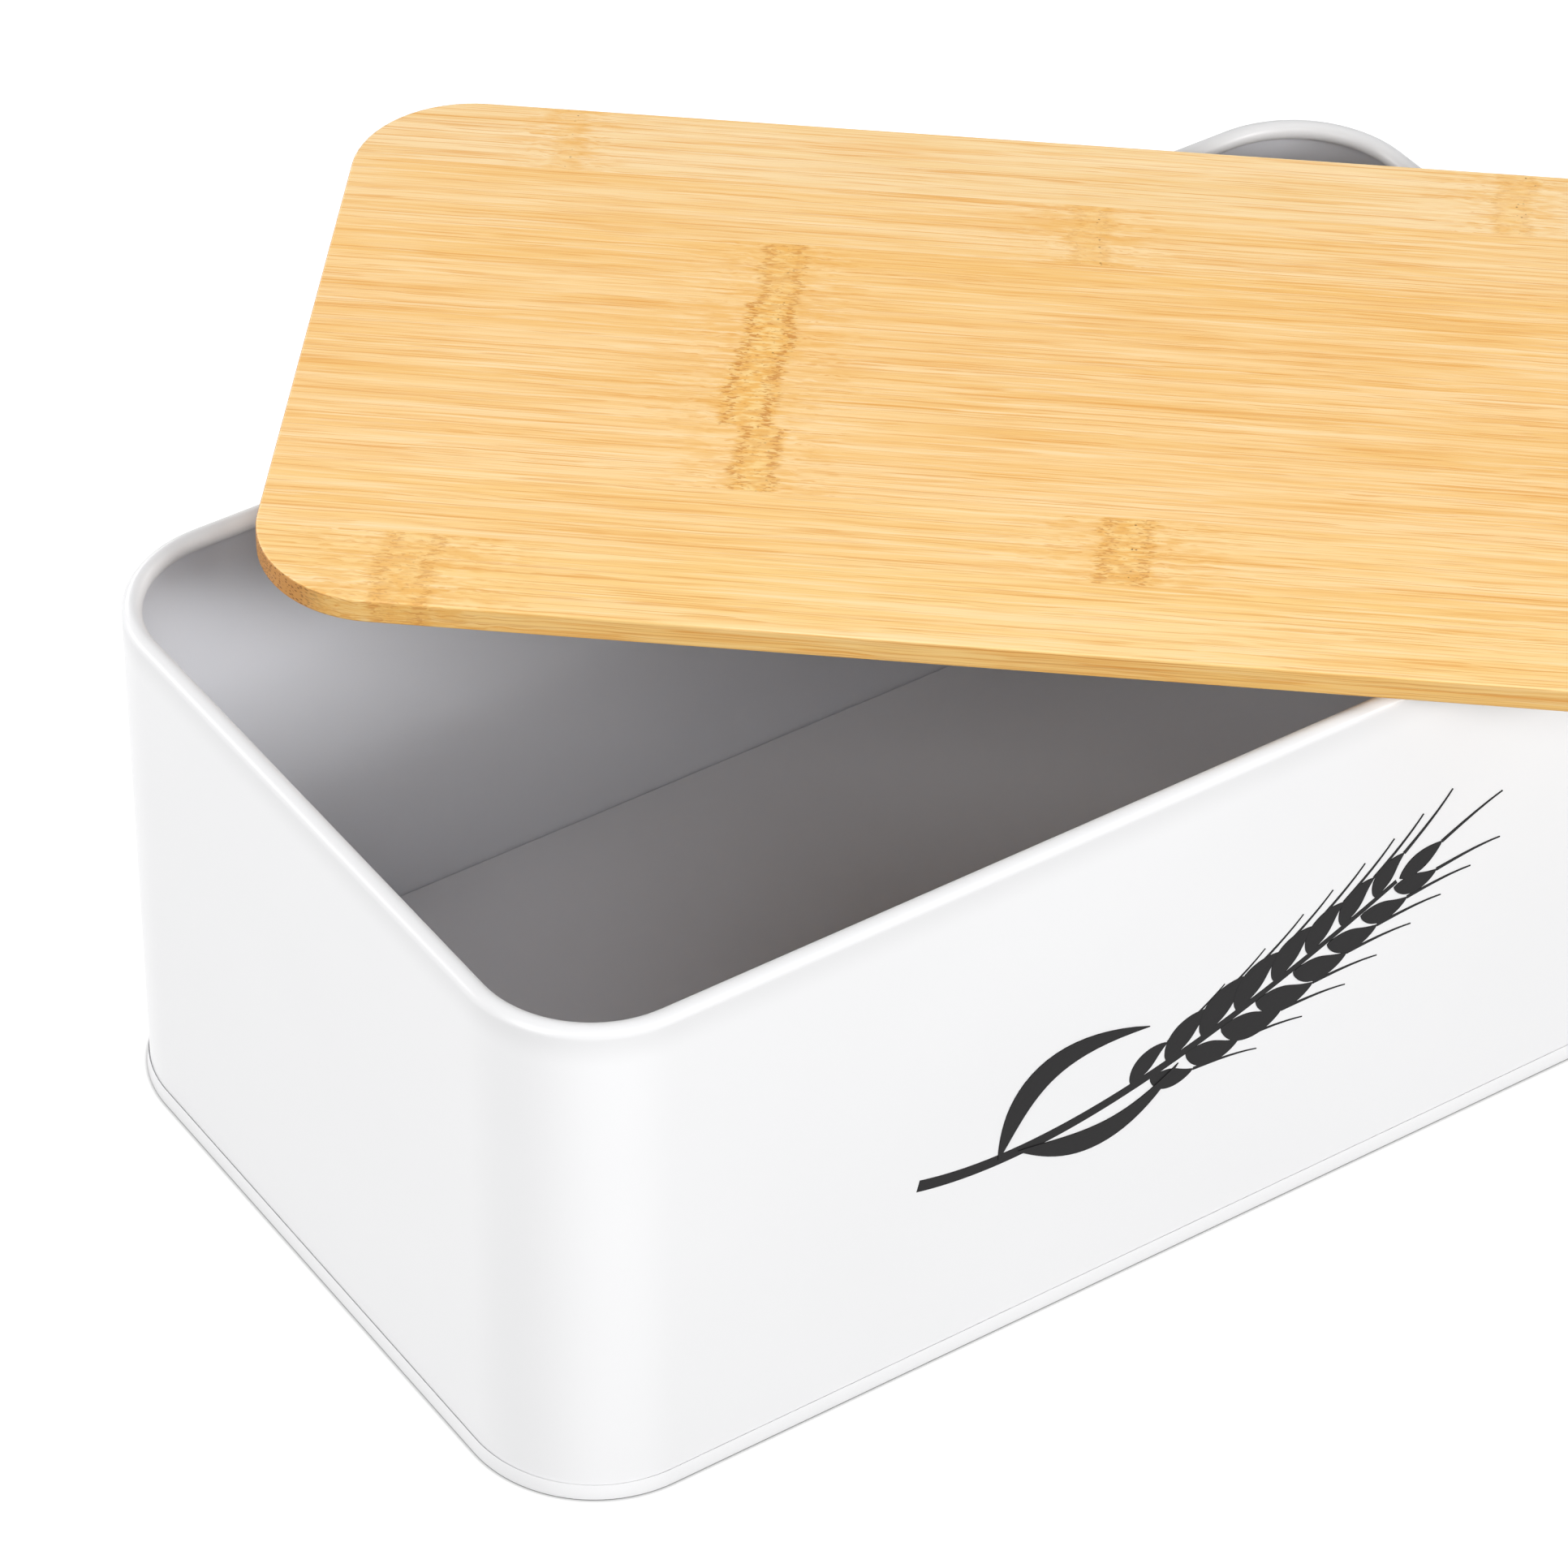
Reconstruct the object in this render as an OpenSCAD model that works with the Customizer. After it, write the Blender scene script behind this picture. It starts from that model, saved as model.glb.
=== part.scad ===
// Bread box: a rounded rectangular sheet-steel bin with a rolled rim and a
// folded-on bottom, and a loose lid board laminated from bamboo strips.
// Units are millimetres, +Z is up, +X runs along the bin, the front is at -Y.
// The origin is the centre of the bin's footprint, on the surface it stands on.

/* [Bin] */
// Outside length of the bin wall, along X
bin_length = 330; // [240:1:450]
// Outside width of the bin wall, along Y
bin_width = 185; // [140:1:260]
// Height of the bin, from the table to the top of the rim
bin_height = 128; // [80:1:200]
// Outside radius of the bin's upright corners
bin_corner = 29; // [20:1:45]
// Thickness of the steel sheet
sheet = 0.7; // [0.5:0.1:1]
// Diameter of the rim, where the wall's top edge is rolled inwards
rim_diameter = 4.4; // [3.5:0.1:6]

/* [Bottom] */
// Height of the hem that folds up around the outside of the wall
hem_height = 4; // [2.5:0.1:6]
// Height of the floor's upper face above the table
floor_height = 3.6; // [2.5:0.1:8]

/* [Lid] */
// Length of the lid board
lid_length = 328; // [240:1:450]
// Width of the lid board
lid_width = 183; // [140:1:260]
// Radius of the lid board's corners
lid_corner = 27; // [20:1:45]
// Thickness of the board layer, which lies over the rim
board_thickness = 5.6; // [4:0.1:12]
// Thickness of the locating layer, which drops inside the rim
locating_thickness = 4.2; // [3:0.1:8]
// Step from the edge of the board to the edge of the locating layer
locating_inset = 6.5; // [6.5:0.1:9]
// Radius of the sanded edges
edge_round = 0.5; // [0.4:0.1:1.5]

/* [Bamboo strips] */
// Width of a whole bamboo strip
strip_width = 22.5; // [20:0.1:30]

/* [Lid at rest] */
// Turn of the lid from square with the bin, clockwise from above
lid_turn = 40; // [0:0.1:60]
// How far the lid's centre lies to the right of the bin's centre
lid_shift_x = 38.9; // [0:0.1:60]
// How far the lid's centre lies behind the bin's centre
lid_shift_y = 21.4; // [0:0.1:40]

/* [Hidden] */
$fn = 96;
rim_radius = rim_diameter / 2;
hem_round = 0.6;                 // rounding of the hem's folded lower edge
lid_clearance = 0.3;             // left between the rim and the lid that lies on it
edge_band = 4;                   // width of the swept band that carries an eased edge

locating_length = lid_length - 2 * locating_inset;
locating_width = lid_width - 2 * locating_inset;
locating_corner = lid_corner - locating_inset;
board_z = bin_height + lid_clearance + locating_thickness;

// Each layer has whole strips between two outer ones that are trimmed to fit.
// One whole strip more in the lower layer staggers its joints by half a strip.
board_whole = floor(lid_width / strip_width) - 2;
locating_whole = board_whole + 1;
board_strips = board_whole + 2;
locating_strips = locating_whole + 2;

STEEL_WHITE = [0.95, 0.95, 0.95];
BAMBOO_LIGHT = [0.94, 0.76, 0.47];
BAMBOO_DEEP = [0.89, 0.69, 0.40];

// Where strip number i of a layer starts, measured from the layer's back edge.
function strip_start(width, whole, i) =
    i == 1 ? 0 :
    i == whole + 3 ? width :
    (width - whole * strip_width) / 2 + (i - 2) * strip_width;

// A solid rounded rectangle, centred, standing on z = 0.
module rounded_plate(length, width, radius, thickness) {
    linear_extrude(thickness) {
        square([length - 2 * radius, width], center = true);
        square([length, width - 2 * radius], center = true);
        for (x = [-1, 1], y = [-1, 1])
            translate([x * (length / 2 - radius), y * (width / 2 - radius)])
                circle(radius);
    }
}

// Sweeps a profile round a rounded rectangle. In the profile, x is the distance
// inwards from the rectangle's outline and y is the height.
module sweep_round(length, width, radius) {
    half = [length / 2 - radius, width / 2 - radius];
    for (side = [0:3]) {
        along = half[(side + 1) % 2];
        out = half[side % 2];
        rotate(90 * side) {
            translate([out + radius, along, 0])
                rotate([90, 0, 0])
                    linear_extrude(2 * along)
                        mirror([1, 0])
                            children();
            translate([out, along, 0])
                rotate_extrude(angle = 90)
                    translate([radius, 0])
                        mirror([1, 0])
                            children();
        }
    }
}

// Section of the wall: a straight sheet whose top is rolled inwards and down
// into an open curl that stops short of the sheet.
module wall_profile() {
    curl_mouth = 65;             // angle left open under the curl
    reach = 2 * rim_radius;
    translate([0, sheet])
        square([sheet, bin_height - rim_radius - sheet]);
    translate([rim_radius, bin_height - rim_radius])
        difference() {
            circle(rim_radius);
            circle(rim_radius - sheet);
            polygon([
                [0, 0],
                [-reach, 0],
                [-reach, -reach],
                [-reach * cos(curl_mouth), -reach * sin(curl_mouth)]
            ]);
        }
}

module wall() {
    color(STEEL_WHITE)
        sweep_round(bin_length, bin_width, bin_corner)
            wall_profile();
}

// Section of the hem: a channel folded round the wall's lower edge, open upwards.
module hem_profile() {
    difference() {
        union() {
            translate([-sheet, hem_round])
                square([3 * sheet, floor_height - hem_round]);
            translate([-sheet, hem_round])
                square([sheet, hem_height - hem_round]);
            translate([hem_round - sheet, 0])
                square([3 * sheet - 2 * hem_round, hem_round]);
            for (x = [hem_round - sheet, 2 * sheet - hem_round])
                translate([x, hem_round])
                    circle(hem_round);
        }
        translate([0, sheet])
            square([sheet, 2 * max(hem_height, floor_height)]);
    }
}

module bottom_panel() {
    inset = 2 * sheet;
    color(STEEL_WHITE) {
        sweep_round(bin_length, bin_width, bin_corner)
            hem_profile();
        translate([0, 0, floor_height - sheet])
            rounded_plate(bin_length - 2 * inset, bin_width - 2 * inset,
                          bin_corner - inset, sheet);
    }
}

// Edge band of a layer, with its upper or lower outer edge rounded over.
module eased_profile(thickness, ease_top, ease_bottom) {
    low = ease_bottom ? edge_round : 0;
    high = thickness - (ease_top ? edge_round : 0);
    translate([0, low])
        square([edge_band, high - low]);
    translate([edge_round, 0])
        square([edge_band - edge_round, thickness]);
    if (ease_top)
        translate([edge_round, high])
            circle(edge_round);
    if (ease_bottom)
        translate([edge_round, low])
            circle(edge_round);
}

// One layer of the lid, centred on the lid's own axis, standing on z = 0.
module layer(length, width, radius, thickness, ease_top, ease_bottom) {
    sweep_round(length, width, radius)
        eased_profile(thickness, ease_top, ease_bottom);
    rounded_plate(length - 2 * edge_band, width - 2 * edge_band,
                  radius - edge_band, thickness);
}

// Strip number i of a layer, cut out of the whole layer between its glue lines.
module strip(i, length, width, whole) {
    from = strip_start(width, whole, i);
    to = strip_start(width, whole, i + 1);
    intersection() {
        children();
        translate([-length, width / 2 - to, -length])
            cube([2 * length, to - from, 2 * length]);
    }
}

// Places the lid as it lies on the rim.
module lid_place(z) {
    translate([lid_shift_x, lid_shift_y, z])
        rotate(-lid_turn)
            children();
}

module board_strip(i) {
    color(i % 2 == 0 ? BAMBOO_LIGHT : BAMBOO_DEEP)
        lid_place(board_z)
            strip(i, lid_length, lid_width, board_whole)
                layer(lid_length, lid_width, lid_corner, board_thickness, true, true);
}

module locating_strip(i) {
    color(i % 2 == 0 ? BAMBOO_DEEP : BAMBOO_LIGHT)
        lid_place(board_z - locating_thickness)
            strip(i, locating_length, locating_width, locating_whole)
                layer(locating_length, locating_width, locating_corner,
                      locating_thickness, false, true);
}

wall();
bottom_panel();
for (i = [1:board_strips])
    board_strip(i);
for (i = [1:locating_strips])
    locating_strip(i);
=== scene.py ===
"""Looks of a white steel bread bin with a loose laminated bamboo lid, round its CAD model."""
import math

import bmesh
import bpy
from mathutils import Matrix, Vector


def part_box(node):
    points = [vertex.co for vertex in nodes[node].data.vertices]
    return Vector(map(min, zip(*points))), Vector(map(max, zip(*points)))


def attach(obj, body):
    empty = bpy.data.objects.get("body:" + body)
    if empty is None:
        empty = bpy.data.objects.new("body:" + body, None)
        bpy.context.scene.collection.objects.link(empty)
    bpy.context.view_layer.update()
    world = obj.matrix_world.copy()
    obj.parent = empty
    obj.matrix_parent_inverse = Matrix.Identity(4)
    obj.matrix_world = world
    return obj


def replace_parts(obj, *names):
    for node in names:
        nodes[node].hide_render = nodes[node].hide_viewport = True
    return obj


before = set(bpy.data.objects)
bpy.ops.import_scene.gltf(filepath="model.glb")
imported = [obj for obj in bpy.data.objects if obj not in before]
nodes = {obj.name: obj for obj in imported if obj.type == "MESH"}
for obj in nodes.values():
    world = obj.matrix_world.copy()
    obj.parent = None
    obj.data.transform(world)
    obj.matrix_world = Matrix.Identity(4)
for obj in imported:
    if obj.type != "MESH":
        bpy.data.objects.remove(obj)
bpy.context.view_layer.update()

MM = 0.001
BOARD = sorted(n for n in nodes if n.startswith("board_strip_"))
LOCATING = sorted(n for n in nodes if n.startswith("locating_strip_"))


# ---------------------------------------------------------------- camera

SENSOR_WIDTH = 36                  # mm
LENS = 153.99                      # focal length, mm
CAMERA_AZIMUTH = math.radians(-34.6)
CAMERA_ELEVATION = math.radians(39.86)
CAMERA_ROLL = math.radians(0.89)
CAMERA_DISTANCE = 1.4513           # from the point it aims at
CAMERA_AIM = Vector((-0.0343, 0.0184, 0.0625))


def direction(azimuth, elevation):
    """Where something stands, seen from the object. Azimuth 0 is in front, on the -Y side."""
    level = math.cos(elevation)
    return Vector((math.sin(azimuth) * level, -math.cos(azimuth) * level, math.sin(elevation)))


def make_camera():
    data = bpy.data.cameras.new("camera")
    data.sensor_width = SENSOR_WIDTH
    data.lens = LENS
    camera = bpy.data.objects.new("camera", data)
    bpy.context.scene.collection.objects.link(camera)
    back = direction(CAMERA_AZIMUTH, CAMERA_ELEVATION)
    turn = (-back).to_track_quat("-Z", "Y").to_matrix().to_4x4()
    camera.matrix_world = (
        Matrix.Translation(CAMERA_AIM + back * CAMERA_DISTANCE)
        @ turn
        @ Matrix.Rotation(CAMERA_ROLL, 4, "Z")
    )
    bpy.context.scene.camera = camera


# ---------------------------------------------------------------- meshes

WELD_DISTANCE = 0.01 * MM
CREASE = math.radians(35)          # a sharper edge than this isn't shaded smooth


def finish_mesh(name, bm, materials, body):
    """Turns a bmesh into a piece: welded, outward-facing and smooth but for its creases."""
    bmesh.ops.remove_doubles(bm, verts=bm.verts, dist=WELD_DISTANCE)
    bmesh.ops.recalc_face_normals(bm, faces=bm.faces)
    for face in bm.faces:
        face.smooth = True
    for edge in bm.edges:
        if len(edge.link_faces) == 2:
            edge.smooth = edge.calc_face_angle(0) < CREASE
    mesh = bpy.data.meshes.new(name)
    bm.to_mesh(mesh)
    bm.free()
    for material in materials:
        mesh.materials.append(material)
    piece = bpy.data.objects.new(name, mesh)
    bpy.context.scene.collection.objects.link(piece)
    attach(piece, body)
    return piece


def arc(centre, radius, start, end, steps):
    """Points on an arc, with angles in degrees."""
    angles = [math.radians(start + (end - start) * i / steps) for i in range(steps + 1)]
    return [(centre[0] + radius * math.cos(a), centre[1] + radius * math.sin(a)) for a in angles]


def outline(length, width, radius, corner_steps, stops=()):
    """Points and outward normals round a rounded rectangle.

    Stops are extra X places on its back side."""
    half_x = length / 2 - radius
    half_y = width / 2 - radius
    ring = []
    for quarter, (sx, sy) in enumerate([(1, 1), (-1, 1), (-1, -1), (1, -1)]):
        for i in range(corner_steps + 1):
            a = math.radians(90 * (quarter + i / corner_steps))
            normal = Vector((math.cos(a), math.sin(a)))
            ring.append((Vector((sx * half_x, sy * half_y)) + normal * radius, normal))
        if quarter == 0:
            stops = sorted(stops, reverse=True)
            ring += [(Vector((x, width / 2)), Vector((0, 1))) for x in stops]
    return ring


def sweep(bm, ring, profile, closed, inside_from, proud=None):
    """Carries a profile of (inset, height) points round a ring.

    From the profile's point inside_from on, the faces take the piece's second material.
    proud is a function that says how far a point stands out from its place.
    Returns the first and last loops of vertices."""
    loops = []
    for inset, height in profile:
        loop = []
        for point, normal in ring:
            lift = proud(point, inset, height) if proud else 0
            place = point - normal * (inset - lift)
            loop.append(bm.verts.new((place.x, place.y, height)))
        loops.append(loop)
    pairs = list(zip(loops, loops[1:]))
    if closed:
        pairs.append((loops[-1], loops[0]))
    count = len(ring)
    for step, (low, high) in enumerate(pairs):
        for i in range(count):
            j = (i + 1) % count
            face = bm.faces.new((low[i], low[j], high[j], high[i]))
            face.material_index = 1 if step >= inside_from else 0
    return loops[0], loops[-1]


def dress(name, material):
    """Gives a CAD node its material."""
    nodes[name].data.materials.clear()
    nodes[name].data.materials.append(material)


# ---------------------------------------------------------------- node trees

DISPLAY_GAMMA = 2.2


def linear(red, green, blue):
    """A colour of 0-255 display values as the linear RGBA that shaders take."""
    return tuple((c / 255) ** DISPLAY_GAMMA for c in (red, green, blue)) + (1,)


class Tree:
    """A material's nodes. Every input can be a plain value or another node's output."""

    def __init__(self, name):
        self.material = bpy.data.materials.new(name)
        self.material.use_nodes = True
        self.tree = self.material.node_tree
        self.shader = self.tree.nodes["Principled BSDF"]

    def put(self, socket, value):
        if isinstance(value, bpy.types.NodeSocket):
            self.tree.links.new(value, socket)
        else:
            socket.default_value = value

    def add(self, kind, inputs, output=0, **settings):
        node = self.tree.nodes.new("ShaderNode" + kind)
        for key, value in settings.items():
            setattr(node, key, value)
        for key, value in inputs.items():
            self.put(node.inputs[key], value)
        return node.outputs[output]

    def math(self, operation, *values):
        return self.add("Math", dict(enumerate(values)), operation=operation)

    def times(self, a, b):
        return self.math("MULTIPLY", a, b)

    def vector(self, operation, *values, output=0):
        return self.add("VectorMath", dict(enumerate(values)), output, operation=operation)

    def between(self, value, low, high):
        """0 at low, 1 at high and smooth in between. Low may be the larger one."""
        inputs = {"Value": value, "From Min": low, "From Max": high}
        return self.add("MapRange", inputs, interpolation_type="SMOOTHSTEP")

    def scaled(self, value, low, high):
        """A 0-1 value stretched to run from low to high."""
        return self.add("MapRange", {"Value": value, "To Min": low, "To Max": high})

    def mix(self, factor, a, b, blend="MIX"):
        node = self.tree.nodes.new("ShaderNodeMix")
        node.data_type = "RGBA"
        node.blend_type = blend
        # Sockets 6 and 7 and output 2 are the ones for colours
        for socket, value in zip((0, 6, 7), (factor, a, b)):
            self.put(node.inputs[socket], value)
        return node.outputs[2]

    def noise(self, place, size, seed, detail=2.0, roughness=0.5, distortion=0.0):
        """Noise of 0-1 with features of so many units of place along X, Y and Z."""
        inputs = {"Vector": self.stretch(place, size, seed), "Scale": 1.0, "Detail": detail,
                  "Roughness": roughness, "Distortion": distortion}
        return self.add("TexNoise", inputs)

    def cells(self, place, size, seed, randomness=1.0):
        """Distance from the middle of the nearest of many cells, each about as large as size."""
        inputs = {"Vector": self.stretch(place, size, seed), "Scale": 1.0,
                  "Randomness": randomness}
        return self.add("TexVoronoi", inputs, "Distance")

    def along(self, place, axis):
        """One of the three numbers of a place."""
        split = self.tree.nodes.new("ShaderNodeSeparateXYZ")
        self.put(split.inputs[0], place)
        return split.outputs[axis]

    def stretch(self, place, size, seed):
        """Coordinates in which a pattern has one feature per size, in the unit of place."""
        scale = tuple(1 / s for s in size)
        return self.vector("MULTIPLY_ADD", place, scale, (seed * 7.31, seed * 3.77, seed * 5.13))

    def finish(self, color, roughness, height=None, depth=0.0):
        """Joins colour, roughness and a bump of so many metres to the shader."""
        self.put(self.shader.inputs["Base Color"], color)
        self.put(self.shader.inputs["Roughness"], roughness)
        if height is not None:
            bump = self.add("Bump", {"Height": height, "Distance": depth})
            self.put(self.shader.inputs["Normal"], bump)
        return self.material


# ---------------------------------------------------------------- bamboo

def lid_axes():
    """The lid's centre, its strips' direction and its length in millimetres."""
    boxes = [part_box(n) for n in BOARD]
    low = Vector(min(b[0][i] for b in boxes) for i in range(3))
    high = Vector(max(b[1][i] for b in boxes) for i in range(3))
    mesh = nodes[BOARD[len(BOARD) // 2]].data
    places = [v.co.xy for v in mesh.vertices]

    def extent(way):
        reach = [place.dot(way) for place in places]
        return max(reach) - min(reach)

    # Of all the edges' directions, the strip is narrowest across the one that it runs in
    edges = [places[e.vertices[1]] - places[e.vertices[0]] for e in mesh.edges]
    ways = [edge.normalized() for edge in edges if edge.length > extent(Vector((1, 0))) / 2]
    along = min(ways, key=lambda way: extent(way.orthogonal()))
    if along.x < 0:
        along = -along
    return (low + high) / 2, math.atan2(along.y, along.x), extent(along) / MM


LID_CENTRE, LID_TURN, LID_LENGTH = lid_axes()


def lid_place(t):
    """Millimetres along the lid's strips, across them and up, from the lid's centre."""
    inputs = {"Vector": t.add("TexCoord", {}, "Object"), "Location": LID_CENTRE,
              "Rotation": (0, 0, LID_TURN), "Scale": (MM, MM, MM)}
    return t.add("Mapping", inputs, vector_type="TEXTURE")


MARK_RAGGED = 3.2                  # mm that a mark's edge jumps from fibre to fibre
MARK_SWAY = 3.0                    # mm that a whole mark wanders
MARK_FADE = 0.9                    # mm over which a mark's edge fades


def node_marks(t, place, marks, seed):
    """Where the bamboo's node marks are.

    Returns how far a point is inside a mark, on one of its two ridges and in the warm zone
    round it, and how much its mark is broken into ticks and pits, all 0-1."""
    ragged = t.noise(place, (40, 0.55, 0.55), seed + 1, detail=2, roughness=0.7)
    sway = t.noise(place, (80, 6, 6), seed + 2, detail=1)
    jitter = t.math("ADD", t.scaled(ragged, -MARK_RAGGED, MARK_RAGGED),
                    t.scaled(sway, -MARK_SWAY, MARK_SWAY))
    along = t.along(place, 0)
    inside = ridge = warm = ticks = pits = 0.0
    for centre, width, tick_share, pit_share in marks:
        # Two ridges stand near its sides, with a row of pits between them
        half = width / 2
        away = t.math("ADD", t.math("SUBTRACT", along, centre - LID_LENGTH / 2), jitter)
        distance = t.math("ABSOLUTE", away)
        here = t.between(distance, half + MARK_FADE, half - MARK_FADE)
        from_ridge = t.math("ABSOLUTE", t.math("SUBTRACT", distance, half * 0.72))
        side = t.between(from_ridge, half * 0.42, 0.2)
        from_row = t.math("ABSOLUTE", t.math("SUBTRACT", away, half * 0.4))
        row = t.between(from_row, 1.8, 0.8)
        inside = t.math("MAXIMUM", inside, here)
        ridge = t.math("MAXIMUM", ridge, side)
        warm = t.math("MAXIMUM", warm, t.between(distance, half * 5.5, half * 0.8))
        ticks = t.math("MAXIMUM", ticks, t.times(here, tick_share))
        pits = t.math("MAXIMUM", pits, t.times(row, pit_share))
    return inside, ridge, warm, ticks, pits


CREAM = linear(254, 226, 178)
HONEY = linear(240, 184, 107)
AMBER = linear(227, 158, 76)
UMBER = linear(188, 108, 22)
PIT = linear(104, 62, 26)
MARK_GLOW = linear(238, 180, 96)
MARK_PALE = linear(253, 220, 152)
MARK_DEEP = linear(239, 179, 92)
MARK_BLOCK = linear(222, 156, 72)
MARK_RIDGE = linear(226, 158, 72)
MARK_BASE = linear(242, 188, 106)
# Darkens the sides and rounded edges: partly their own tone, partly painted shade
SIDE_TONE_AND_SHADE = linear(225, 216, 192)
SIDE_SCRATCH = linear(190, 134, 70)
BUNDLE_DARK = linear(116, 68, 28)
BUNDLE_LIGHT = linear(190, 134, 72)
BAMBOO_BUMP = 0.04 * MM


def wavy(t, place, warm, seed):
    """The place moved a little across the strip, so that fibres wander and ripple at a mark."""
    wander = t.noise(place, (26, 6, 6), seed + 3, detail=2)
    ripple = t.noise(place, (4.5, 1.6, 1.6), seed + 12, detail=1)
    shift = t.times(t.math("SUBTRACT", wander, 0.5), 1.1)
    ripple = t.times(t.math("SUBTRACT", ripple, 0.5), t.times(warm, 1.5))
    shift = t.math("ADD", shift, ripple)
    return t.vector("ADD", place, t.add("CombineXYZ", {1: shift, 2: shift}))


def fibre_color(t, bent, light, deep, seed):
    """Flat grain from broad bands down to single fibres.

    Returns its colour, the fibres and the fine dark lines among them."""
    broad = t.noise(bent, (110, 5, 5), seed + 4, detail=2)
    ribbon = t.noise(bent, (55, 2.2, 2.2), seed + 7, detail=2)
    streak = t.noise(bent, (48, 0.85, 0.85), seed + 5, detail=2, roughness=0.6)
    fibre = t.noise(bent, (30, 0.42, 0.42), seed + 6, detail=2, roughness=0.5)
    line = t.noise(bent, (110, 0.5, 0.5), seed + 8, detail=1)

    color = t.mix(t.between(broad, 0.34, 0.68), light, deep)
    color = t.mix(t.times(t.between(streak, 0.47, 0.27), 0.60), color, CREAM)
    color = t.mix(t.times(t.between(streak, 0.52, 0.72), 0.60), color, HONEY)
    color = t.mix(t.times(t.between(ribbon, 0.50, 0.72), 0.55), color, HONEY)
    color = t.mix(t.times(t.between(ribbon, 0.46, 0.28), 0.40), color, CREAM)
    thread_share = t.scaled(t.between(ribbon, 0.38, 0.62), 0.3, 0.72)
    threads = t.times(t.between(fibre, 0.52, 0.74), thread_share)
    color = t.mix(threads, color, AMBER)
    color = t.mix(t.times(t.between(fibre, 0.46, 0.28), 0.35), color, CREAM)
    lines = t.times(t.between(line, 0.56, 0.72), 0.62)
    return t.mix(lines, color, AMBER), fibre, lines


def mark_color(t, place, color, inside, ridge, warm, ticks, seed):
    """Warmer wood in patches round a mark, and pale cells and brown ticks inside it.

    Returns the colour and the ticks' own dashes."""
    patch = t.noise(place, (9, 2.0, 2.0), seed + 9, detail=2)
    cell = t.noise(place, (3.6, 0.95, 0.95), seed + 10, detail=1)
    tick = t.noise(place, (1.7, 0.52, 0.52), seed + 14, detail=1, distortion=0.6)
    block = t.noise(place, (6, 2.6, 2.6), seed + 15, detail=1)

    glow = t.times(t.times(warm, t.between(patch, 0.47, 0.66)), 0.6)
    color = t.mix(glow, color, MARK_GLOW)
    tone = t.mix(t.between(cell, 0.38, 0.62), MARK_PALE, MARK_DEEP)
    tone = t.mix(t.times(t.between(block, 0.54, 0.64), 0.6), tone, MARK_BLOCK)
    tone = t.mix(t.times(ridge, 0.25), tone, MARK_RIDGE)
    dashes = t.between(tick, t.scaled(ridge, 0.60, 0.48), t.scaled(ridge, 0.68, 0.57))
    tone = t.mix(t.times(dashes, t.scaled(ridge, 0.7, 0.95)), tone, UMBER)
    color = t.mix(t.times(ticks, 0.85), color, tone)
    return t.mix(t.times(inside, 0.25), color, MARK_BASE), dashes


def side_color(t, bent, color, seed):
    """Sides a little deeper in tone, partly their own tone and partly painted shade, and darker
    end grain, dotted with fibre bundles.
    """
    normal = t.add("TexCoord", {}, "Normal")
    ahead = (math.cos(LID_TURN), math.sin(LID_TURN), 0)
    end = t.math("ABSOLUTE", t.vector("DOT_PRODUCT", normal, ahead, output="Value"))
    up = t.math("ABSOLUTE", t.vector("DOT_PRODUCT", normal, (0, 0, 1), output="Value"))
    # Faces turned away from the top are darker: partly the sides' own tone, partly painted shade
    side = t.between(up, 0.90, 0.50)
    color = t.mix(side, color, SIDE_TONE_AND_SHADE, blend="MULTIPLY")
    scratch = t.noise(bent, (60, 2.0, 0.36), seed + 17, detail=1)
    scratched = t.times(t.times(side, t.between(scratch, 0.52, 0.68)), 0.6)
    color = t.mix(scratched, color, SIDE_SCRATCH)
    bundle = t.cells(bent, (14, 0.66, 0.55), seed + 16, randomness=0.7)
    dots = t.mix(t.between(bundle, 0.16, 0.50), BUNDLE_DARK, BUNDLE_LIGHT)
    dotted = t.times(t.times(side, t.between(end, 0.25, 0.60)), 0.95)
    return t.mix(dotted, color, dots)


def bamboo(name, seed, light, deep, marks):
    """Flat-grain bamboo: fibres along the strip, node marks and dotted end grain.

    Each mark is its place from the strip's left end and its width in millimetres, and how
    much it is broken into ticks and pits. Patterns have their sizes in millimetres along
    the strip, across it and up."""
    t = Tree(name)
    place = lid_place(t)
    inside, ridge, warm, ticks, pits = node_marks(t, place, marks, seed)
    bent = wavy(t, place, warm, seed)
    color, fibre, lines = fibre_color(t, bent, light, deep, seed)
    color, dashes = mark_color(t, place, color, inside, ridge, warm, ticks, seed)

    # Dark pits in a row
    spot = t.cells(place, (1.5, 1.3, 1.3), seed + 11)
    pick = t.noise(place, (2.0, 2.0, 2.0), seed + 13, detail=1)
    pit = t.times(t.between(spot, 0.24, 0.10), t.between(pick, 0.46, 0.54))
    pit = t.times(pit, pits)
    color = t.mix(t.times(pit, 0.75), color, PIT)
    color = side_color(t, bent, color, seed)

    # Lines, ticks and pits lie deeper than the fibres
    height = t.math("SUBTRACT", t.times(fibre, 0.6), t.times(lines, 0.8))
    height = t.math("SUBTRACT", height, t.times(t.times(dashes, ticks), 0.8))
    height = t.math("SUBTRACT", height, t.times(pit, 2.5))
    t.shader.inputs["Specular IOR Level"].default_value = 0.35
    return t.finish(color, t.scaled(fibre, 0.42, 0.58), height, BAMBOO_BUMP)


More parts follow.
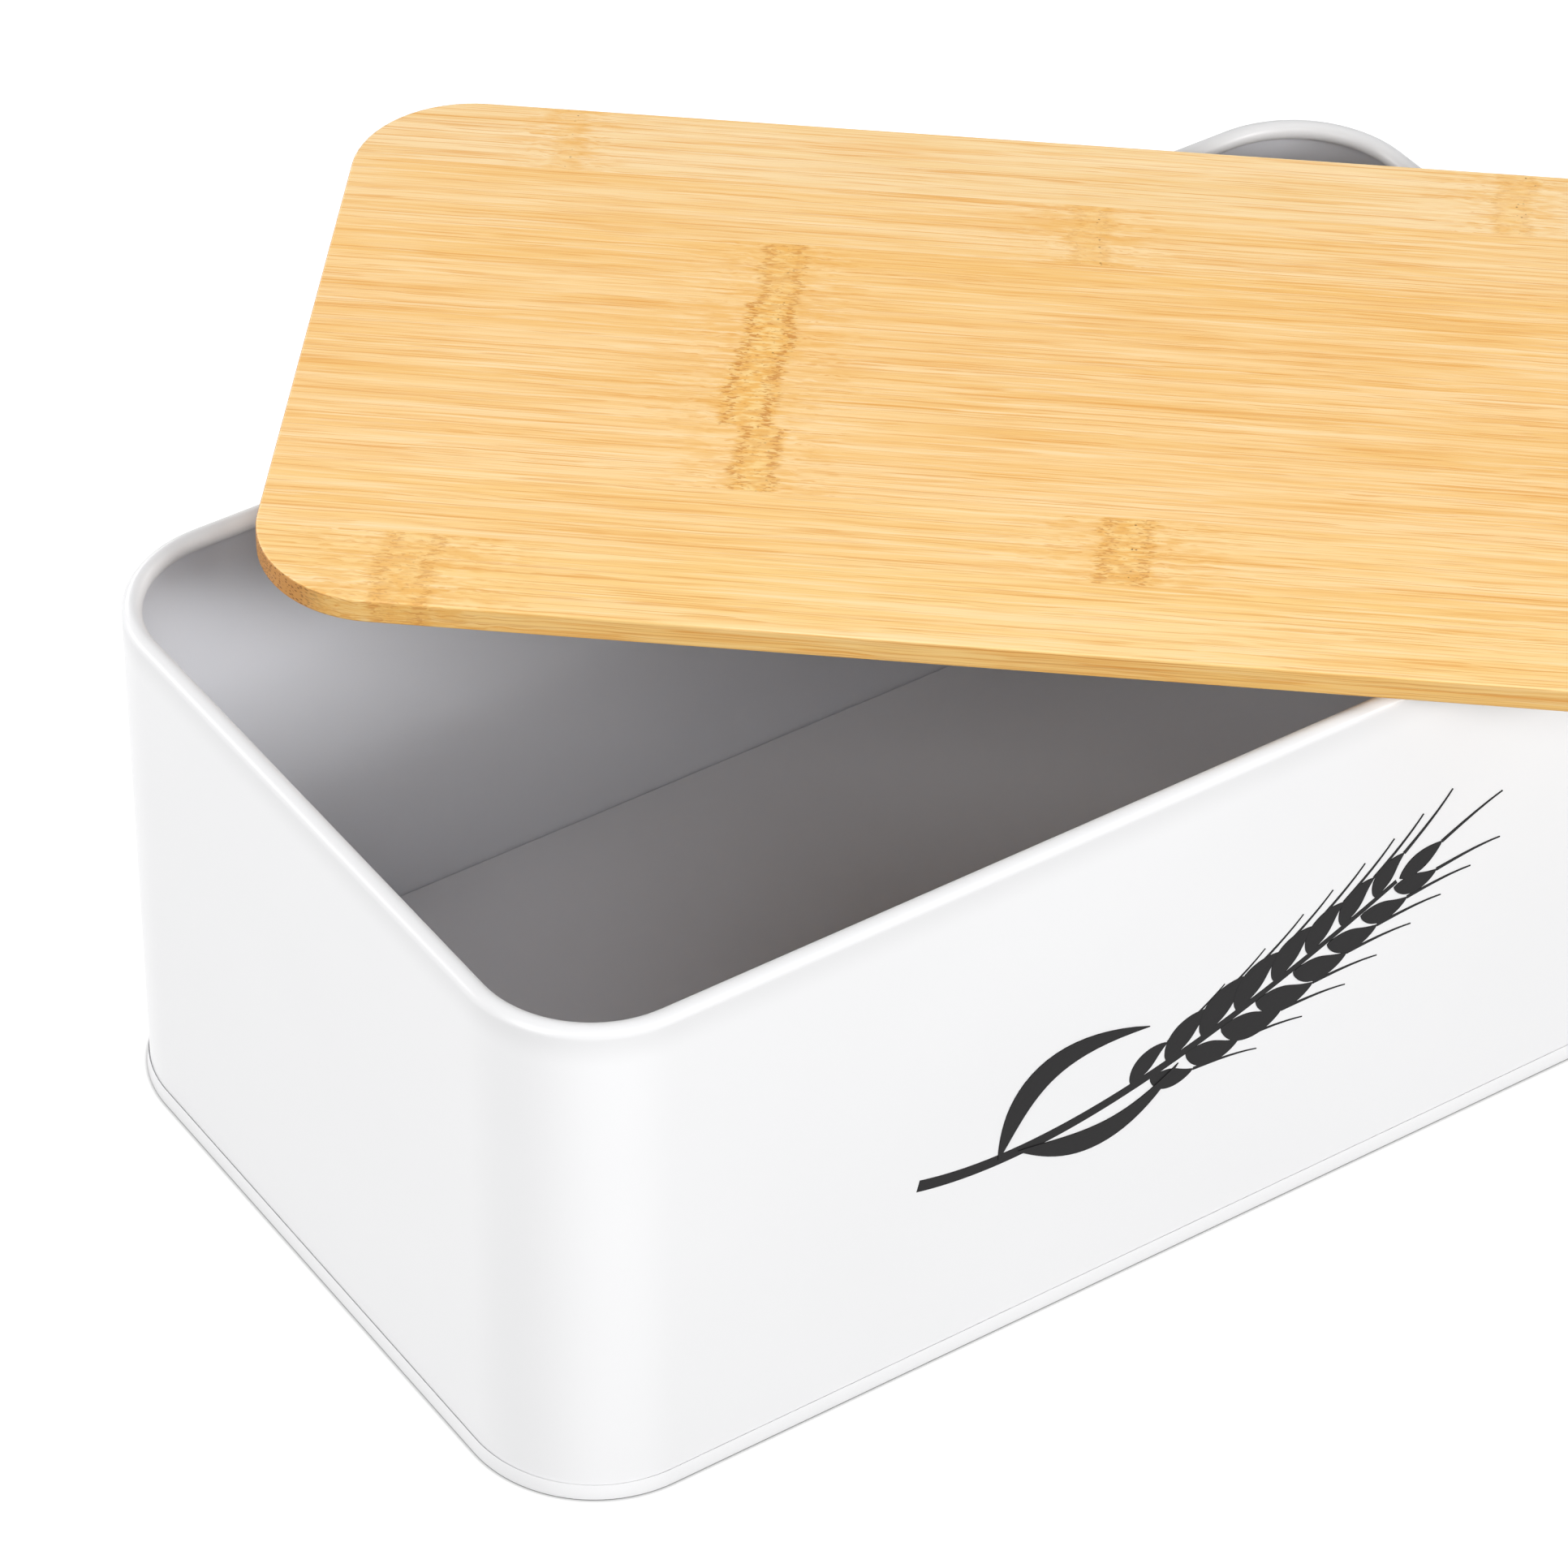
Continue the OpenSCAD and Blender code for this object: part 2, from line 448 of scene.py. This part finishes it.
# Each board strip from the back: its light and deep tones, and its node marks
BOARD_LOOKS = [
    ((250, 218, 166), (246, 208, 146), [(46.5, 6.5, 0.15, 1.0), (259, 9, 0.3, 0.9)]),
    ((250, 213, 154), (246, 200, 130), [(166, 9, 0.35, 0.8)]),
    ((251, 211, 148), (246, 197, 122), [(100, 10, 0.75, 0.5)]),
    ((251, 211, 149), (246, 197, 124), [(99, 11.5, 1.0, 0.7)]),
    ((251, 211, 148), (245, 196, 122), [(98, 12, 1.0, 0.4)]),
    ((252, 213, 152), (247, 199, 127), [(101.5, 10, 0.9, 0.4)]),
    ((252, 214, 151), (248, 202, 129), [(181, 12, 0.8, 1.0)]),
    ((253, 217, 153), (249, 206, 133), [(34, 13, 0.6, 0.2)]),
]
LOCATING_LIGHT = (248, 208, 148)
LOCATING_DEEP = (240, 192, 122)
BOARD_SEED = 11.0                  # of the first strip's patterns; each next one adds SEED_STEP
LOCATING_SEED = 61.0
SEED_STEP = 3


def dress_lid():
    strips = [(name, BOARD_SEED + SEED_STEP * i, *looks)
              for i, (name, looks) in enumerate(zip(BOARD, BOARD_LOOKS))]
    for i, name in enumerate(LOCATING):
        # One mark on each, at scattered places
        marks = [(40 + 61 * i % 250, 10, 0.8, 0.5)]
        strips.append((name, LOCATING_SEED + SEED_STEP * i, LOCATING_LIGHT, LOCATING_DEEP, marks))
    for name, seed, light, deep, marks in strips:
        dress(name, bamboo("bamboo_" + name, seed, linear(*light), linear(*deep), marks))


# ---------------------------------------------------------------- steel

COAT_UNEVEN = 4                    # display steps between the lightest and darkest coat
COAT_BUMP = 0.02 * MM
INK_BUMP = 0.01 * MM
RIM_SHADE_FADE = (10, 0.5)               # mm below the top where the rim's painted shade starts and is full


def millimetres(t):
    """A material's place on the object in millimetres."""
    place = t.vector("SCALE", t.add("TexCoord", {}, "Object"))
    place.node.inputs["Scale"].default_value = 1 / MM
    return place


def powder_coat(name, tone, rim_painted_shade=None):
    """White powder coat with a faint orange-peel surface.

    It may carry painted shade: greyer towards the top of the rim, to tone down how brightly the
    rim is lit."""
    t = Tree(name)
    place = millimetres(t)
    cloud = t.noise(place, (70, 70, 70), 3, detail=2)
    peel = t.noise(place, (1.6, 1.6, 1.6), 5, detail=1)
    speck = t.noise(place, (6, 6, 6), 7, detail=3)
    color = t.mix(cloud, linear(*tone), linear(*(c - COAT_UNEVEN for c in tone)))
    # Painted shade: the coat turns greyer towards the rim's top, to tone down its lit roll
    if rim_painted_shade:
        start, full = (WALL_HIGH.z / MM - below for below in RIM_SHADE_FADE)
        color = t.mix(t.between(t.along(place, 2), start, full), color, linear(*rim_painted_shade))
    dull = t.math("MULTIPLY_ADD", speck, 0.5, t.times(cloud, 0.5))
    roughness = t.scaled(dull, 0.36, 0.42)
    t.shader.inputs["Coat Weight"].default_value = 0.15
    t.shader.inputs["Coat Roughness"].default_value = 0.2
    return t.finish(color, roughness, peel, COAT_BUMP)


def ink(name):
    """Charcoal printing ink, slightly uneven."""
    t = Tree(name)
    grain = t.noise(millimetres(t), (0.8, 0.8, 0.8), 2, detail=3)
    color = t.mix(grain, linear(26, 25, 26), linear(36, 35, 36))
    t.shader.inputs["Specular IOR Level"].default_value = 0.15
    return t.finish(color, t.scaled(grain, 0.38, 0.52), grain, INK_BUMP)


WALL_LOW, WALL_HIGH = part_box("wall")
_, HEM_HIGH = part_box("bottom_panel")
LENGTH = WALL_HIGH.x - WALL_LOW.x
WIDTH = WALL_HIGH.y - WALL_LOW.y
SHEET = HEM_HIGH.x - WALL_HIGH.x      # the hem stands proud of the wall by one sheet
CORNER = 29 * MM
RIM = 2.2 * MM                        # radius of the rolled rim
CURL_END = -115                       # degrees at which the rolled sheet stops
FLOOR_TOP = 3.6 * MM
FLOOR_BEND = 1.2 * MM                 # outside radius of the bend from the floor down into the hem
HEM_ROUND = 0.35 * MM                 # radius of the fold along the bin's lower edge
HEM_GAP = 0.34 * MM                   # from the wall to the outside of the hem's upper edge
HEM_EDGE = 0.05 * MM                  # thickness of that edge, which is pressed thin
HEM_GAP_DEPTH = 0.7 * MM
BEND_STEPS = 5
CORNER_STEPS = 24
RIM_STEPS = 30                        # round the outside of the rim
CURL_STEPS = 24                       # and round its inside
SEAM_HALF = 4.5 * MM                  # the wall's lapped seam, at the middle of the back
SEAM_SHOULDER = 0.6 * MM              # width of the slope up to the seam
SEAM_LIFT = 0.25 * MM                 # how far it stands out

# The third tone is painted shade, greyer towards the rim's top to tone down its lit roll
COAT = powder_coat("powder_coat", (240, 240, 241), (226, 226, 227))
# The inside's coat is a greyer copy of the same white coat: painted shade for the inside
INSIDE_PAINTED_SHADE_COAT = powder_coat("powder_coat_inside_painted_shade", (221, 222, 227))
INK = ink("printing_ink")


def seam_lift(point, inset, height):
    """How far the lapped seam stands proud of the outside of the back wall."""
    seam_top = WALL_HIGH.z - RIM - SEAM_SHOULDER / 2
    on_seam = point.y > 0 and abs(point.x) < SEAM_HALF + SEAM_SHOULDER / 2
    on_outside = inset < SHEET / 2 and HEM_HIGH.z < height < seam_top
    return SEAM_LIFT if on_seam and on_outside else 0


def make_wall():
    """The sheet's section from its foot up, round the rim and its curl, and down the inside."""
    centre = (RIM, WALL_HIGH.z - RIM)
    seam_foot = HEM_HIGH.z + SEAM_SHOULDER
    profile = [(0, WALL_LOW.z), (0, HEM_HIGH.z), (0, seam_foot), (0, centre[1] - SEAM_SHOULDER)]
    profile += arc(centre, RIM, 180, CURL_END, RIM_STEPS)
    inside_from = len(profile)
    profile += arc(centre, RIM - SHEET, CURL_END, 180, CURL_STEPS)
    profile.append((SHEET, WALL_LOW.z))
    edges = [sign * (SEAM_HALF + step) for sign in (-1, 1) for step in (0, SEAM_SHOULDER)]
    bm = bmesh.new()
    ring = outline(LENGTH, WIDTH, CORNER, CORNER_STEPS, edges)
    sweep(bm, ring, profile, True, inside_from, seam_lift)
    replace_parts(finish_mesh("bin_wall", bm, [COAT, INSIDE_PAINTED_SHADE_COAT], "bin"), "wall")


def make_bottom():
    """The section under the floor, round the hem, up and down outside the wall and back in."""
    inner = 2 * SHEET
    bend_centre = (SHEET + FLOOR_BEND, FLOOR_TOP - FLOOR_BEND)
    profile = arc(bend_centre, FLOOR_BEND - SHEET, 90, 180, BEND_STEPS)
    profile.append((inner, HEM_ROUND))
    profile += arc((inner - HEM_ROUND, HEM_ROUND), HEM_ROUND, 0, -90, BEND_STEPS)
    profile += arc((HEM_ROUND - SHEET, HEM_ROUND), HEM_ROUND, -90, -180, BEND_STEPS)
    gap_foot = HEM_HIGH.z - HEM_GAP_DEPTH
    edge_inside = HEM_EDGE - HEM_GAP
    profile += [(-HEM_GAP, HEM_HIGH.z), (edge_inside, HEM_HIGH.z)]
    profile += [(edge_inside, gap_foot), (0, gap_foot)]
    profile += [(0, SHEET), (SHEET, SHEET)]
    inside_from = len(profile)
    profile += arc(bend_centre, FLOOR_BEND, 180, 90, BEND_STEPS + 1)
    bm = bmesh.new()
    ring = outline(LENGTH, WIDTH, CORNER, CORNER_STEPS)
    lower_face, floor = sweep(bm, ring, profile, False, inside_from)
    bm.faces.new(lower_face)
    bm.faces.new(floor).material_index = 1
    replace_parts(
        finish_mesh("bin_bottom", bm, [COAT, INSIDE_PAINTED_SHADE_COAT], "bin"),
        "bottom_panel",
    )


# ---------------------------------------------------------------- printed wheat ear

# Sizes within the print are in millimetres, and its turns in degrees
PRINT_THICK = 0.08 * MM
PRINT_LAYER = 0.004 * MM              # how much further out each stroke is than the one before
PRINT_STEM = [(-76, 52), (-44, 43.5), (-2, 53), (54, 81)]    # X and Z on the front
STEM_HALF_WIDTHS = (1.5, 0.6)         # at its start and at its end
STEM_FINE_STEPS = 400                 # of the curve, before it is divided evenly
STEM_STEPS = 160
STEM_END = 150                        # step of the stem at which its stroke ends
EAR_START = 64                        # steps at which the first and last grains grow
EAR_END = 142
GRAIN_PAIRS = 8
GRAIN_LENGTH = 16.2
GRAIN_HALF_WIDTH = 3.5
GRAIN_TURN = 42
GRAIN_BEND = 16
GRAIN_LAG = 4.8                       # how far the lower row of grains is ahead of the upper
GRAIN_FULLEST = 0.45                  # share of a grain's length at which it is widest
AWN_LENGTH = 17
AWN_HALF_WIDTHS = (0.42, 0.14)
AWN_TURN = 17
AWN_BEND = 4
TIP_LENGTH = 12
TIP_HALF_WIDTH = 2.5
TIP_AWN_BEND = -3
# Step of the stem, turn, length, half width and bend
LEAVES = [(24, 72, 42, 3.2, -46), (30, -24, 41, 2.9, 30)]
LEAF_STEPS = 22
FINEST_HALF_WIDTH = 0.06


def bezier(points, steps):
    """Points along a cubic curve."""
    a, b, c, d = (Vector(p) for p in points)
    curve = []
    for i in range(steps + 1):
        t = i / steps
        rest = 1 - t
        curve.append(rest ** 3 * a + 3 * rest ** 2 * t * b + 3 * rest * t * t * c + t ** 3 * d)
    return curve


def stroke(bm, line, half_width, thickness):
    """One flat pen stroke on the front of the bin.

    half_width is a function of the share of the stroke's length."""
    front = WALL_LOW.y
    count = len(line)
    sides = []
    for i, point in enumerate(line):
        ahead = (line[min(i + 1, count - 1)] - line[max(i - 1, 0)]).normalized()
        across = Vector((-ahead.y, ahead.x)) * half_width(i / (count - 1))
        sides.append((point + across, point - across))
    rows = []
    for y in (front + PRINT_THICK, front - thickness):
        rows.append([[bm.verts.new((p.x * MM, y, p.y * MM)) for p in pair] for pair in sides])
    back, face = rows
    for i in range(count - 1):
        for row in (back, face):
            bm.faces.new((row[i][0], row[i + 1][0], row[i + 1][1], row[i][1]))
        for k in (0, 1):
            bm.faces.new((back[i][k], back[i + 1][k], face[i + 1][k], face[i][k]))
    for i in (0, count - 1):
        bm.faces.new((back[i][0], back[i][1], face[i][1], face[i][0]))


def even_steps(line, steps):
    """Points at equal distances along a finely divided line."""
    reach = [0]
    for p, q in zip(line, line[1:]):
        reach.append(reach[-1] + (q - p).length)
    points = []
    for i in range(steps + 1):
        wanted = reach[-1] * i / steps
        j = max(k for k, along in enumerate(reach[:-1]) if along <= wanted)
        points.append(line[j].lerp(line[j + 1], (wanted - reach[j]) / (reach[j + 1] - reach[j])))
    return points


def taper(start, end):
    """A half width that changes evenly along a stroke."""
    return lambda share: start + (end - start) * share


def heading(degrees):
    """The way a stroke goes on the front of the bin."""
    return Vector((math.cos(math.radians(degrees)), math.sin(math.radians(degrees))))


def leaf(start, turn, length, half_width, bend, fullest=0.5):
    """Centreline and width of a blade or grain that leaves start at turn and bends by bend."""
    ahead = heading(turn)
    end = start + length * heading(turn + bend)
    curve = [start, start + ahead * length / 3, start + ahead * length * 2 / 3, end]
    power = math.log(0.5) / math.log(fullest)

    def width(share):
        swell = max(0, math.sin(math.pi * share ** power)) ** 0.85
        return FINEST_HALF_WIDTH + half_width * swell

    return bezier(curve, LEAF_STEPS), width


def make_print():
    """A wheat ear: stem, pairs of grains with awns, a grain at the tip and two leaves."""
    stem = even_steps(bezier(PRINT_STEM, STEM_FINE_STEPS), STEM_STEPS)
    strokes = [(stem[:STEM_END], taper(*STEM_HALF_WIDTHS))]

    def awn(start, turn, bend):
        line, _ = leaf(start, turn, AWN_LENGTH, 0, bend)
        strokes.append((line, taper(*AWN_HALF_WIDTHS)))

    for pair in range(GRAIN_PAIRS):
        share = pair / (GRAIN_PAIRS - 1)
        i = round(EAR_START + (EAR_END - EAR_START) * share)
        ahead = (stem[i + 1] - stem[i]).normalized()
        turn = math.degrees(math.atan2(ahead.y, ahead.x))
        across = Vector((-ahead.y, ahead.x))
        # Grains are smaller towards both ends of the ear
        size = min(1, 0.72 + 1.1 * share) * min(1, 1.13 - 0.43 * share)
        for side in (-1, 1):
            start = stem[i] + across * side + ahead * (GRAIN_LAG if side < 0 else 0)
            grain, width = leaf(start, turn + side * GRAIN_TURN, GRAIN_LENGTH * size,
                                GRAIN_HALF_WIDTH * size, -side * GRAIN_BEND, GRAIN_FULLEST)
            strokes.append((grain, width))
            awn(grain[-1], turn + side * AWN_TURN, side * AWN_BEND)
    turn = math.degrees(math.atan2(*(stem[-1] - stem[-3]).yx))
    tip, width = leaf(stem[STEM_END], turn, TIP_LENGTH, TIP_HALF_WIDTH, 0, GRAIN_FULLEST)
    strokes.append((tip, width))
    awn(tip[-1], turn, TIP_AWN_BEND)
    for at, turn, length, half_width, bend in LEAVES:
        strokes.append(leaf(stem[at], turn, length, half_width, bend))
    bm = bmesh.new()
    for layer, (line, half_width) in enumerate(strokes):
        stroke(bm, line, half_width, PRINT_THICK + layer * PRINT_LAYER)
    finish_mesh("front_print", bm, [INK], "bin")


# ---------------------------------------------------------------- floor and light

FLOOR_HALF_SIZE = 12                  # metres
FLOOR_COLOR = (0.2, 0.2, 0.2, 1)
FLOOR_ROUGHNESS = 0.9
CONTACT_REACH = 1.6 * MM              # how far from the bin the painted contact shadow on the floor reaches
CONTACT_DARK = 0.33                   # openness of a place at which the floor is black
CONTACT_CLEAR = 0.92                  # and at which it is white again
CONTACT_SAMPLES = 8


def make_floor():
    bm = bmesh.new()
    bmesh.ops.create_grid(bm, x_segments=1, y_segments=1, size=FLOOR_HALF_SIZE)
    mesh = bpy.data.meshes.new("floor")
    bm.to_mesh(mesh)
    bm.free()
    t = Tree("floor")
    t.shader.inputs["Emission Color"].default_value = (1, 1, 1, 1)
    # Painted contact shadow: the floor glows less where the bin closes it in
    contact_shadow_openness = t.add("AmbientOcclusion", {"Distance": CONTACT_REACH}, "AO",
                  samples=CONTACT_SAMPLES)
    inputs = {"Value": contact_shadow_openness, "From Min": CONTACT_DARK, "From Max": CONTACT_CLEAR}
    t.put(t.shader.inputs["Emission Strength"], t.add("MapRange", inputs))
    mesh.materials.append(t.finish(FLOOR_COLOR, FLOOR_ROUGHNESS))
    floor = bpy.data.objects.new("floor", mesh)
    bpy.context.scene.collection.objects.link(floor)
    floor.visible_diffuse = False     # its white glow is seen, but lights no matt surface


WIDE = (0.9, 0.5)                     # sizes of the lights, in metres
WIDER = (1.2, 0.6)
SQUARE = (1.4, 1.4)
# Each light: its azimuth and elevation in degrees, its distance in metres, its size and its watts
LIGHTS = {
    "left_low": (-75, 9, 2.4, WIDE, 19.3),
    "left": (-75, 28, 2.4, WIDE, 10.9),
    "front_left": (-30, 40, 2.4, WIDE, 9.8),
    "front": (5, 28, 2.4, WIDE, 9.8),
    "right_low": (22, 18, 2.4, WIDE, 30),
    "top": (0, 89, 1.8, SQUARE, 7.6),
    "far_right": (85, 25, 2.4, WIDE, 10.8),
    "back": (180, 20, 2.4, WIDER, 19),
    "back_left": (-140, 14, 2.4, WIDER, 18.5),
}
LIGHT_AIM = Vector((0, 0, 0.1))
WORLD_STRENGTH = 0.15


def make_light(name, azimuth, elevation, distance, size, power):
    data = bpy.data.lights.new(name, "AREA")
    data.shape = "RECTANGLE"
    data.size, data.size_y = size
    data.energy = power
    light = bpy.data.objects.new(name, data)
    bpy.context.scene.collection.objects.link(light)
    back = direction(math.radians(azimuth), math.radians(elevation))
    turn = (-back).to_track_quat("-Z", "Y").to_matrix().to_4x4()
    light.matrix_world = Matrix.Translation(LIGHT_AIM + back * distance) @ turn


def make_world():
    world = bpy.data.worlds.new("world")
    world.use_nodes = True
    background = world.node_tree.nodes["Background"]
    background.inputs["Color"].default_value = (1, 1, 1, 1)
    background.inputs["Strength"].default_value = WORLD_STRENGTH
    bpy.context.scene.world = world
    bpy.context.scene.view_settings.view_transform = "Standard"


# ---------------------------------------------------------------- the object

make_camera()
make_world()
make_floor()
for name, settings in LIGHTS.items():
    make_light(name, *settings)
dress_lid()
make_wall()
make_bottom()
make_print()
